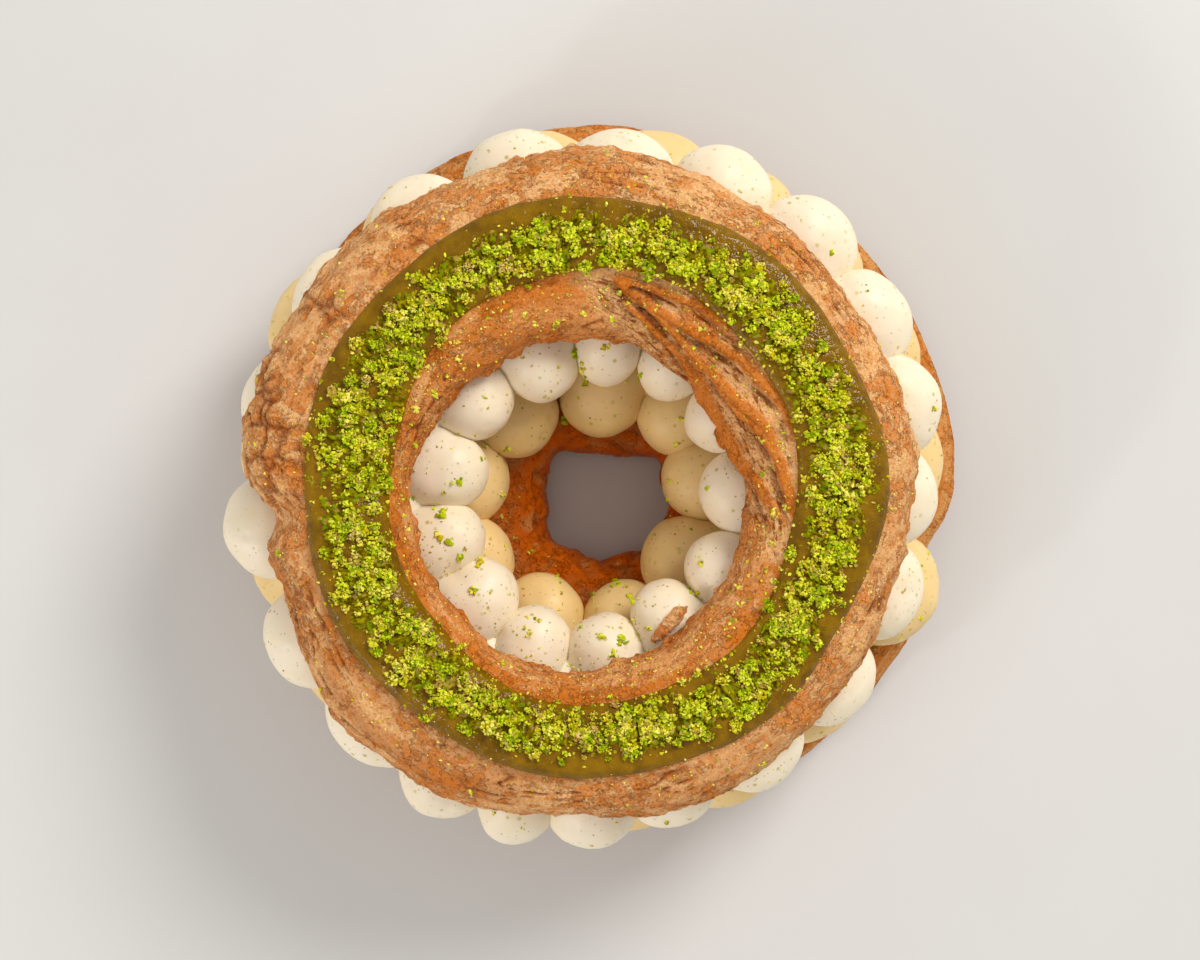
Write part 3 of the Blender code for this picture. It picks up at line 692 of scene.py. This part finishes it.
LOWER_OUTER = Row(count=17, centre=(-2.0 * MM, -0.9 * MM), edge=98.6 * MM, depth=14 * MM,
                  plump=0.58, widest=17 * MM, start=106.8, clockwise=True,
                  crowding=((3.1, 139), (3.9, 177), (1.6, 107)),
                  proud={1: 1.0 * MM, 6: 3.0 * MM, 15: 2.5 * MM})
LOWER_INNER = Row(count=9, centre=(-5.0 * MM, -8.4 * MM), edge=20.2 * MM, depth=-11.5 * MM,
                  plump=0.55, widest=12.5 * MM, start=127.5, clockwise=False,
                  crowding=((4.3, 173), (2.7, 62), (2.1, 26)),
                  proud={2: 2.0 * MM, 3: 1.0 * MM, 4: 3.0 * MM, 6: 2.8 * MM, 7: 4.8 * MM})
UPPER_OUTER = Row(count=20, centre=(-4.5 * MM, -2.4 * MM), edge=96.4 * MM, depth=13 * MM,
                  plump=0.60, widest=15 * MM, start=108.0, clockwise=True,
                  crowding=((7.6, 117), (3.9, -171), (1.5, -25)),
                  proud={0: 2.0 * MM, 1: 1.5 * MM, 2: 4.5 * MM, 3: 5.4 * MM, 4: 4.5 * MM,
                         5: 3.2 * MM, 11: 3.2 * MM, 12: 2.5 * MM, 13: 3.5 * MM, 14: -0.5 * MM,
                         15: 1.0 * MM, 16: 2.4 * MM})
UPPER_INNER = Row(count=13, centre=(-3.3 * MM, -6.1 * MM), edge=28.5 * MM, depth=-11 * MM,
                  plump=0.56, widest=12 * MM, start=111.7, clockwise=False,
                  crowding=((0.6, -73), (1.8, 173), (0.9, 139)),
                  proud={1: 1.5 * MM, 5: 3.0 * MM, 6: 2.2 * MM, 8: 2.2 * MM, 9: 1.8 * MM,
                         10: 3.2 * MM, 11: 4.2 * MM, 12: 2.6 * MM})
BALL_RISE = 10.4 * MM
BALL_BACK = 1.7
BALL_UNEVEN = 0.06
BALL_SHIFT = 0.8 * MM
BALL_REACH = 11.8 * MM
CORE_INSET = 15 * MM


def cream_ball(row, index, height, draw, shape_draw):
    """One piped ball: a squashed, slightly tilted sphere that points along the ring's radius."""
    turn = row.turn(index)
    uneven = 1.0 + BALL_UNEVEN * draw.uniform(-1.0, 1.0)
    shift = BALL_SHIFT * draw.uniform(-1.0, 1.0) + row.proud.get(index, 0.0)
    reach = row.edge - row.depth + shift
    x = row.centre[0] + reach * math.cos(turn)
    y = row.centre[1] + reach * math.sin(turn)
    deselect()
    bpy.ops.mesh.primitive_uv_sphere_add(segments=68, ring_count=40, radius=1.0)
    ball = bpy.context.active_object
    back = -1.0 if row.depth > 0.0 else 1.0
    points = read_points(ball)
    behind = np.maximum(points[:, 0] * back, 0.0)
    points[:, 0] += back * (BALL_BACK - 1.0) * behind
    points[:, 1] *= 1.0 + 0.6 * behind
    write_points(ball, points)
    size = Matrix.Diagonal((abs(row.depth), row.half_width(index) * uneven, BALL_RISE, 1.0))
    lean_over = Matrix.Rotation(shape_draw.uniform(-0.16, 0.16), 4, "X")
    spin = Matrix.Rotation(turn, 4, "Z")
    ball.data.transform(Matrix.Translation((x, y, height)) @ spin @ lean_over @ size)
    return ball, Vector((x, y, height)), turn


def cream_core(outer_row, inner_row, span):
    """The cream behind the balls, a rounded ring that stays out of sight between them."""
    piece, turn, lean = ring("cream_core", around=120, across=24)
    outer = along(outer_row.centre, np.full_like(turn, outer_row.edge - CORE_INSET), turn)
    inner = along(inner_row.centre, np.full_like(turn, inner_row.edge + CORE_INSET), turn)
    share = 0.5 + 0.5 * signed_power(np.cos(lean), 0.7)
    flat = inner + (outer - inner) * share[:, None]
    half = 0.5 * (span[1] - span[0])
    height = span[0] + half + 0.7 * half * signed_power(np.sin(lean), 0.7)
    write_points(piece, np.column_stack([flat, height]))
    return piece


def dents(points, places, draw, count, sizes, depths):
    """Press small round hollows into the balls, where the piping left bubbles."""
    push = np.zeros(len(points))
    for _ in range(count):
        middle, turn, faces_in = draw.choice(places)
        side = turn + draw.uniform(-1.0, 1.0) + (math.pi if faces_in else 0.0)
        up = draw.uniform(-0.2, 1.2)
        look = Vector((math.cos(side) * math.cos(up), math.sin(side) * math.cos(up), math.sin(up)))
        spot = np.array(middle + look * BALL_REACH)
        size = draw.uniform(*sizes)
        away = np.linalg.norm(points - spot, axis=1) / size
        push += draw.uniform(*depths) * (np.exp(-away ** 2) - 0.12 * np.exp(-((away - 1.5) / 0.5) ** 2))
    return push


def cream_tier(name, outer_row, inner_row, span, seed, material, slot, node):
    """Two rows of balls against a core, uneven and dented, level where the tier meets its neighbours."""
    draw = random.Random(seed)
    shape_draw = random.Random(seed + 100)
    middle = 0.5 * (span[0] + span[1])
    core = cream_core(outer_row, inner_row, span)
    balls = []
    places = []
    for row in (outer_row, inner_row):
        for index in range(row.count):
            ball, spot, turn = cream_ball(row, index, middle, draw, shape_draw)
            balls.append(ball)
            places.append((spot, turn, row is inner_row))
    deselect()
    for ball in balls:
        ball.select_set(True)
    core.select_set(True)
    bpy.context.view_layer.objects.active = core
    bpy.ops.object.join()
    core.name = name
    points = read_points(core)
    normals = read_normals(core)
    swell = 0.55 * MM * rough(points, 9 * MM, seed + 1) + 0.12 * MM * rough(points, 3.2 * MM, seed + 2)
    hollow = dents(points, places, draw, 80, (0.8 * MM, 1.4 * MM), (0.25 * MM, 0.6 * MM))
    points = points + normals * (swell - hollow)[:, None]
    points[:, 2] = np.clip(points[:, 2], span[0], span[1])
    write_points(core, points)
    place_piece(core, material, slot, node)


def on_band(turn, share):
    """Places on the glaze band, from its inner edge (0) to its outer edge (1)."""
    radius = edge(GLAZE_INNER, turn) * (1.0 - share) + edge(GLAZE_OUTER, turn) * share
    return along(GLAZE_CENTRE, radius, turn)


def glaze_swell(share):
    return GLAZE_THICKNESS * (4.0 * share * (1.0 - share)) ** 0.3


def glaze_pool(turn, share):
    """Extra thickness where the glaze has run down and pooled along its edges."""
    outer = (0.5 + 0.6 * hill(turn, -135, 45)) * np.exp(-((share - 0.90) / 0.07) ** 2)
    inner = 0.35 * np.exp(-((share - 0.08) / 0.06) ** 2)
    return (outer + inner) * MM


def glaze_band(material):
    piece, turn, lean = ring("glaze_band", around=213, across=14, parts=3)
    wander = 0.35 * MM * rough(flow_points(turn, lean * 0.0, 5 * MM, 1.0), 1.0, seed=21)
    share = 0.5 + 0.5 * signed_power(np.cos(lean), 0.7)
    outwards = np.column_stack([np.cos(turn), np.sin(turn)])
    flat = on_band(turn, share) + (wander * np.abs(2.0 * share - 1.0))[:, None] * outwards
    points = np.column_stack([flat, np.zeros(len(flat))])
    bottom = lid_crown(points) - GLAZE_FOOT
    ripple = 0.22 * MM * rough(points, 5 * MM, seed=22)
    above = smooth(0.0, 0.05, np.sin(lean))
    thick = GLAZE_EDGE + glaze_swell(np.clip(share, 0.001, 0.999)) + glaze_pool(turn, share) + ripple
    points[:, 2] = bottom + above * thick
    write_points(piece, points)
    place_piece(piece, material, "pistachio_glaze", "pistachio_glaze")


def crumb_shapes(count, seed):
    """A few broken lumps, as arrays of points and triangles."""
    shapes = []
    for index in range(count):
        deselect()
        bpy.ops.mesh.primitive_ico_sphere_add(subdivisions=1, radius=1.0)
        lump = bpy.context.active_object
        bpy.ops.object.mode_set(mode="EDIT")
        bpy.ops.transform.vertex_random(offset=0.55, uniform=0.0, normal=0.3, seed=seed + index)
        bpy.ops.object.mode_set(mode="OBJECT")
        triangles = np.array([face.vertices[:] for face in lump.data.polygons])
        shapes.append((read_points(lump), triangles))
        bpy.data.objects.remove(lump, do_unlink=True)
    return shapes


def scatter(name, shapes, places, draw, material):
    """Join copies of the lumps into one piece. A place is a centre, a size and a tone."""
    all_points = []
    all_triangles = []
    all_tones = []
    start = 0
    for centre, size, tone in places:
        points, triangles = draw.choice(shapes)
        axis = Vector((draw.gauss(0, 1), draw.gauss(0, 1), draw.gauss(0, 1))).normalized()
        spin = np.array(Matrix.Rotation(draw.uniform(0.0, TAU), 3, axis))
        stretch = np.array([draw.uniform(0.7, 1.5), draw.uniform(0.6, 1.2), draw.uniform(0.45, 0.95)])
        all_points.append((points * stretch * size) @ spin.T + np.array(centre))
        all_triangles.append(triangles + start)
        all_tones.append(np.full(len(points), tone))
        start += len(points)
    mesh = bpy.data.meshes.new(name)
    mesh.from_pydata(np.concatenate(all_points).tolist(), [], np.concatenate(all_triangles).tolist())
    mesh.update()
    piece = bpy.data.objects.new(name, mesh)
    bpy.context.scene.collection.objects.link(piece)
    store(piece, tone=np.concatenate(all_tones))
    mesh.materials.append(material)
    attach(piece, "root")
    return piece


def bank(turn):
    """Where across the band the crumbs lie, and how wide their bank is."""
    middle = 0.43 + 0.04 * np.cos(2.0 * turn) - 0.06 * hill(turn, 135, 30)
    half = 0.33 + 0.07 * hill(turn, 180, 40) + 0.03 * np.sin(5.0 * turn)
    return middle, half


def crumb_bed(material):
    """Packed fine crumbs: a knobbly skin that dips under the glaze and leaves it bare in places. Its dark
    colours are painted shade for the gaps between the clumps.
    """
    piece, turn, lean = ring("crumb_bed", around=230, across=12, parts=6)
    middle, half = bank(turn)
    across = signed_power(np.cos(lean), 0.8)
    share = np.clip(middle + 1.3 * half * across, 0.03, 0.97)
    points = np.column_stack([on_band(turn, share), np.zeros(len(turn))])
    ground = lid_crown(points) + CRUMB_GROUND + glaze_swell(share)
    heap = rough(points, 6 * MM, seed=31)
    clump = rough(points, 2.4 * MM, seed=32)
    lump = rough(points, 1.2 * MM, seed=33)
    grain = rough(points, 0.65 * MM, seed=34)
    rise = 0.35 + 1.3 * heap + 1.0 * clump + 0.7 * lump + 0.5 * grain - 1.3 * across ** 4
    above = np.sin(lean) > 0.0
    points[:, 2] = np.where(above, ground + rise * MM, ground - 0.9 * MM)
    sideways = 0.45 * MM * np.where(above, rough(points, 0.8 * MM, seed=35), 0.0)
    points[:, 0] += sideways * np.cos(turn)
    points[:, 1] += sideways * np.sin(turn)
    write_points(piece, points)
    store(piece, tone=np.minimum(0.05 + 0.2 * clump + 0.35 * lump + 0.45 * grain, 0.6))
    place_piece(piece, material, "pistachio_glaze", "pistachio_glaze")


def crumb_clumps(draw, count):
    """Clumps of crumbs piled along the band: smooth noise makes thick and thin places."""
    clumps = []
    while len(clumps) < count:
        turn = draw.uniform(-math.pi, math.pi)
        middle, half = bank(np.array([turn]))
        across = draw.gauss(0.0, 0.62)
        share = float(middle[0] + half[0] * across)
        if not -0.05 < share < 0.97:
            continue
        x, y = on_band(np.array([turn]), np.array([share]))[0]
        thick = noise.noise(Vector((x, y, 0.0)) / (7 * MM))
        thick += 0.4 * noise.noise(Vector((x, y, 3.0)) / (3 * MM))
        if draw.random() > 0.95 + 0.8 * thick - 0.3 * across * across:
            continue
        size = (0.55 + 1.45 * draw.random() ** 1.7) * MM
        pile = max(0.0, 1.0 - 0.6 * across * across) * (0.8 + thick)
        clumps.append((x, y, share, size, max(pile, 0.0), draw.random()))
    flat = np.array([(clump[0], clump[1], 0.0) for clump in clumps])
    return zip(clumps, lid_crown(flat))


def crumb_places(draw):
    """Every crumb's centre, size and tone, by the kind of nut that it came from."""
    names = tuple(CRUMB_COLOURS)
    kinds = {name: [] for name in names}
    for (x, y, share, size, pile, pick), crown in crumb_clumps(draw, 1450):
        kind = next(name for name, below in CRUMB_SHARES if pick < below)
        ground = crown + CRUMB_GROUND + float(glaze_swell(min(max(share, 0.0), 1.0)))
        height = ground + pile * draw.uniform(0.0, 1.8) * MM + 0.2 * size
        shade = draw.uniform(-0.14, 0.14)
        kinds[kind].append(((x, y, height), 0.72 * size, 0.25))
        for _ in range(int(3 + 11 * (size / MM) ** 2)):
            mixed = draw.choice(names) if draw.random() < 0.22 else kind
            look = Vector((draw.gauss(0, 1), draw.gauss(0, 1), abs(draw.gauss(0, 1)) - 0.25)).normalized()
            away = look * size * draw.uniform(0.7, 1.1)
            grain = (0.19 + 0.30 * draw.random() ** 1.6) * MM * (0.85 + 0.2 * size / MM)
            # Painted light and shade: grains high in the pile and on a clump's upper side get lighter tones,
            # low ones darker.
            painted_light_by_height = 0.5 * look.z + 0.5 * (height - ground) / (2.5 * MM)
            tone = min(max(0.05 + 0.50 * painted_light_by_height + 0.60 * draw.random() + shade, 0.0), 1.0)
            kinds[mixed].append(((x + away.x, y + away.y, height + 0.75 * away.z), grain, tone))
    return kinds


def loose_crumbs(draw, count):
    """Fine crumbs that fill the band between the clumps and spill to its edges."""
    flat = []
    for _ in range(count):
        turn = draw.uniform(-math.pi, math.pi)
        middle, half = bank(np.array([turn]))
        share = min(max(float(middle[0] + half[0] * draw.gauss(0.0, 0.75)), 0.02), 0.98)
        x, y = on_band(np.array([turn]), np.array([share]))[0]
        flat.append((x, y, share))
    crown = lid_crown(np.array(flat))
    places = []
    for (x, y, share), height in zip(flat, crown):
        size = draw.uniform(0.2, 0.6) * MM
        top = height + CRUMB_GROUND + float(glaze_swell(share)) + 0.3 * size
        places.append(((x, y, top), size, draw.random()))
    return places


def crumbs(shapes):
    """The crushed pistachio on the glaze: the bed, then each kind of crumb as one piece."""
    finishes = {name: nut_finish(name, *colours) for name, colours in CRUMB_COLOURS.items()}
    crumb_bed(nut_finish("crumb_bed", *SHADED_BED_COLOURS))
    draw = random.Random(41)
    kinds = crumb_places(draw)
    kinds["crumbs_green"] += loose_crumbs(draw, 1200)
    kinds["crumbs_yellow"] += loose_crumbs(draw, 1200)
    for name, places in kinds.items():
        piece = scatter(name, shapes, places, draw, finishes[name])
        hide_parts("pistachio_glaze")
    return finishes


def drop_on(targets, spots):
    """Let spots fall on the pieces below, and keep those that land."""
    depsgraph = bpy.context.evaluated_depsgraph_get()
    trees = [BVHTree.FromObject(target, depsgraph) for target in targets]
    landed = []
    for x, y, size, tone in spots:
        best = None
        for tree in trees:
            hit, normal, _, _ = tree.ray_cast(Vector((x, y, 0.12)), Vector((0.0, 0.0, -1.0)))
            if hit is not None and (best is None or hit.z > best[0].z):
                best = (hit, normal)
        if best and best[0].z > 1 * MM:
            place = best[0] + best[1] * 0.2 * size
            landed.append((tuple(place), size, tone))
    return landed


def nut_chip(bits, draw, x, y, size):
    """A chip of nut is a few lumps close together."""
    for _ in range(draw.randint(4, 9)):
        bits.append((x + draw.gauss(0, 0.45) * size, y + draw.gauss(0, 0.45) * size,
                     size * draw.uniform(0.35, 0.75), draw.uniform(0.3, 1.0)))


def scattered_bits(shapes, targets, finishes):
    """Loose chips of pistachio on the cream balls, on the crust beside the glaze, and fine dust."""
    draw = random.Random(52)
    chips = {"pistachio_lime_bits": [], "pistachio_yellow_bits": [], "pistachio_green_bits": []}
    lime, yellow, green = chips.values()
    for across, down in BIG_BITS:
        x, y = from_photo(across, down, BIG_BITS_HEIGHT)
        bits = draw.choice((lime, yellow, green))
        nut_chip(bits, draw, x, y, draw.uniform(0.9, 1.5) * MM)
    for _ in range(170):
        turn = draw.uniform(-math.pi, math.pi)
        reach = draw.choice((draw.uniform(22, 42), draw.uniform(46, 54),
                             draw.uniform(46, 56), draw.uniform(80, 100)))
        x = -4.0 * MM + reach * MM * math.cos(turn)
        y = -5.0 * MM + reach * MM * math.sin(turn)
        bits = draw.choice((lime, yellow, yellow))
        nut_chip(bits, draw, x, y, (0.35 + 0.7 * draw.random() ** 1.5) * MM)
    dust = []
    for _ in range(1700):
        turn = draw.uniform(-math.pi, math.pi)
        reach = MM * draw.choice((draw.gauss(51, 4), draw.gauss(50, 5),
                                  draw.gauss(79, 4), draw.uniform(20, 100)))
        dust.append((GLAZE_CENTRE[0] + reach * math.cos(turn), GLAZE_CENTRE[1] + reach * math.sin(turn),
                     draw.uniform(0.14, 0.40) * MM, draw.uniform(0.3, 1.0)))
    looks = ("crumbs_lime", "crumbs_yellow", "crumbs_deep_green")
    for (name, bits), look in zip(chips.items(), looks):
        scatter(name, shapes, drop_on(targets, bits), draw, finishes[look])
    scatter("pistachio_dust", shapes, drop_on(targets, dust), draw, finishes["crumbs_yellow"])


def crust_shred(material, target):
    """A torn shred of crust that hangs from the lid's hole over one of the white balls."""
    deselect()
    x, y = from_photo(670, 622, BIG_BITS_HEIGHT)
    hit = drop_on([target], [(x, y, 0.0, 0.0)])
    bpy.ops.mesh.primitive_uv_sphere_add(segments=72, ring_count=40, radius=1.0)
    shred = bpy.context.active_object
    shred.name = "crust_shred"
    size = Matrix.Diagonal((7.0 * MM, 1.9 * MM, 0.9 * MM, 1.0))
    tilt = Matrix.Rotation(math.radians(-18), 4, "Y")
    spin = Matrix.Rotation(math.radians(45), 4, "Z")
    place = Matrix.Translation(Vector(hit[0][0]) + Vector((0.0, 0.0, 1.4 * MM)))
    shred.data.transform(place @ spin @ tilt @ size)
    points = read_points(shred)
    ragged = 0.9 * rough(points, 3.0 * MM, seed=61) + 0.5 * rough(points, 1.2 * MM, seed=62)
    write_points(shred, points + read_normals(shred) * (ragged * MM)[:, None])
    place_piece(shred, material, "choux_lid")


def studio():
    """Pale floor, soft light from the upper right, a weak fill from the lower left, and the camera."""
    bpy.ops.mesh.primitive_plane_add(size=3.0, location=(0.0, 0.0, 0.0))
    floor = bpy.context.active_object
    floor.name = "floor"
    pale = Finish("pale_floor", 0.5)
    veins = pale.noise(0.25, detail=6.0, roughness=0.6)
    pale.finish(pale.mix(pale.ramp(veins, 0.4, 0.65), (0.655, 0.65, 0.63), (0.635, 0.62, 0.60)))
    floor.data.materials.append(pale.material)
    light("key_light", (0.95, 1.05, 1.35), 0.8, 27.5, (1.0, 0.975, 0.94))
    light("fill_light", (-1.2, -1.0, 0.85), 1.1, 8.5, (1.0, 0.97, 0.97))
    light("glint_light", (-0.9, -0.75, 0.85), 0.10, 2.2, (1.0, 1.0, 1.0))
    sky()
    lens = bpy.data.cameras.new("camera")
    lens.lens = CAMERA_LENS
    camera = bpy.data.objects.new("camera", lens)
    camera.location = CAMERA_PLACE
    bpy.context.scene.collection.objects.link(camera)
    bpy.context.scene.camera = camera
    bpy.context.scene.view_settings.view_transform = "Standard"


def sky():
    """Soft light from all round, a little weaker straight above than at the sides, so that glossy tops stay
    deep.
    """
    world = bpy.context.scene.world or bpy.data.worlds.new("world")
    bpy.context.scene.world = world
    world.use_nodes = True
    tree = world.node_tree
    look = tree.nodes.new("ShaderNodeTexCoord")
    split = tree.nodes.new("ShaderNodeSeparateXYZ")
    tree.links.new(look.outputs["Generated"], split.inputs["Vector"])
    fade = tree.nodes.new("ShaderNodeMapRange")
    for socket, value in (("From Min", 0.35), ("From Max", 0.95), ("To Min", 0.58), ("To Max", 0.52)):
        fade.inputs[socket].default_value = value
    tree.links.new(split.outputs["Z"], fade.inputs["Value"])
    background = tree.nodes["Background"]
    background.inputs["Color"].default_value = (1.0, 0.985, 0.965, 1.0)
    tree.links.new(fade.outputs["Result"], background.inputs["Strength"])


def light(name, place, size, power, colour):
    lamp = bpy.data.lights.new(name, "AREA")
    lamp.shape = "DISK"
    lamp.size = size
    lamp.energy = power
    lamp.color = colour
    holder = bpy.data.objects.new(name, lamp)
    holder.location = place
    holder.rotation_euler = (-Vector(place)).to_track_quat("-Z", "Y").to_euler()
    bpy.context.scene.collection.objects.link(holder)


def main():
    studio()
    base_crust()
    hazel = cream_finish("hazel_cream", (0.86, 0.62, 0.28), (0.81, 0.57, 0.23))
    white = cream_finish("white_cream", (0.90, 0.79, 0.60), (0.88, 0.755, 0.53))
    cream_tier("hazel_cream_balls", LOWER_OUTER, LOWER_INNER, LOWER_SPAN, 11,
               hazel, "hazel_cream", "cream_lower")
    cream_tier("white_cream_balls", UPPER_OUTER, UPPER_INNER, UPPER_SPAN, 12,
               white, "white_cream", "cream_upper")
    crust = lid_crust()
    crust_shred(crust, bpy.data.objects["white_cream_balls"])
    glaze_band(glaze_finish())
    shapes = crumb_shapes(14, seed=3)
    finishes = crumbs(shapes)
    below = ("hazel_cream_balls", "white_cream_balls", "lid_crust", "base_crust")
    targets = [bpy.data.objects[name] for name in below]
    scattered_bits(shapes, targets, finishes)


main()
